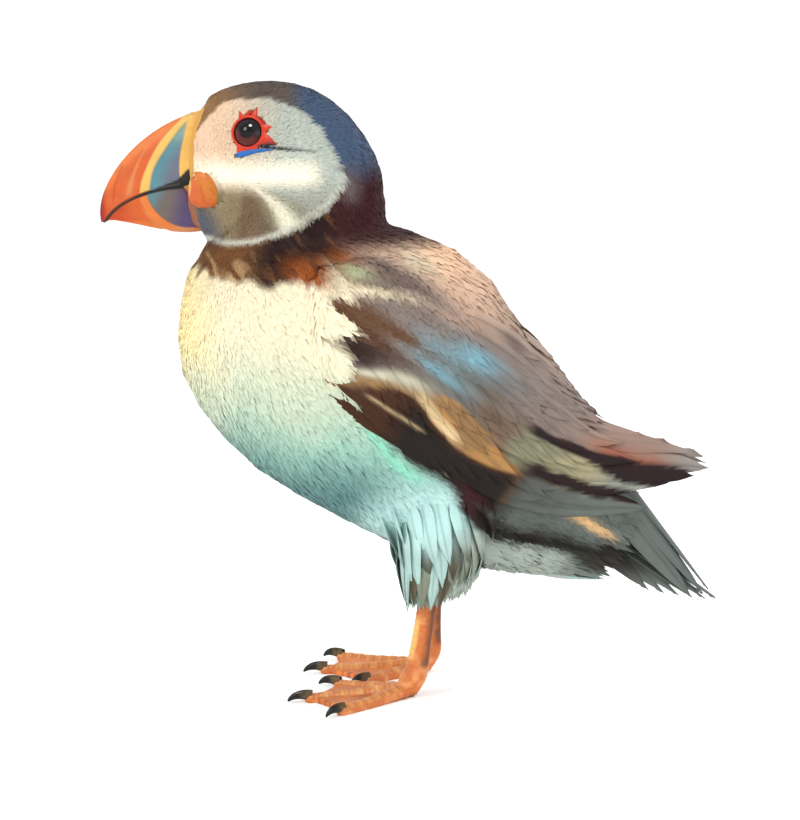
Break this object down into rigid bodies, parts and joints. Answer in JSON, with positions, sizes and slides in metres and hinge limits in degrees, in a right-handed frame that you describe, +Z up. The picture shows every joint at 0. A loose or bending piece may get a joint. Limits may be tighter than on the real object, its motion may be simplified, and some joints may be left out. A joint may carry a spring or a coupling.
{
  "type": "atlantic puffin",
  "caption": "Life-size still model of a standing Atlantic puffin, with folded black wings, white breast and face, a tall banded bill and orange webbed feet.",
  "frame": {"origin": "on the floor under the middle of the box that the bird fills, between its feet and just behind the toes' roots", "axes": "the bird faces -Y, its left side is at +X, and +Z is up from the floor"},
  "size_m": [0.0935, 0.209, 0.2063],
  "materials": {
    "plumage_pale": "soft, dense white feathers, warm on the breast and cool below",
    "plumage_dark": "soft, dense black-brown feathers",
    "flight_feathers": "firm black-brown feathers with a slight sheen",
    "bill_horn": "smooth ridged horn, orange-red with yellow and blue-grey bands",
    "cere": "pale yellow pitted horn at the root of the bill",
    "rosette": "soft wrinkled orange skin at the corner of the mouth",
    "eye": "wet and glossy, near black with a dark brown iris",
    "eye_ring": "bare red skin",
    "eye_plate": "blue-grey horny plate",
    "leg_skin": "orange scaly skin with brown-red webs",
    "claw": "smooth dark horn"
  },
  "bodies": {
    "root": {"bill_lower": "bill_horn", "bill_upper": "bill_horn", "cere": "cere", "claw_inner_left": "claw", "claw_inner_right": "claw", "claw_middle_left": "claw", "claw_middle_right": "claw", "claw_outer_left": "claw", "claw_outer_right": "claw", "eye_left": "eye", "eye_plate_above_left": "eye_plate", "eye_plate_above_right": "eye_plate", "eye_plate_below_left": "eye_plate", "eye_plate_below_right": "eye_plate", "eye_right": "eye", "eye_ring_left": "eye_ring", "eye_ring_right": "eye_ring", "foot_left": "leg_skin", "foot_right": "leg_skin", "head": "plumage_pale", "neck": "plumage_dark", "rosette_left": "rosette", "rosette_right": "rosette", "tail": "flight_feathers", "tarsus_left": "leg_skin", "tarsus_right": "leg_skin", "thigh_left": "plumage_pale", "thigh_right": "plumage_pale", "trunk": "plumage_pale", "wing_left": "flight_feathers", "wing_right": "flight_feathers"}
  },
  "joints": []
}
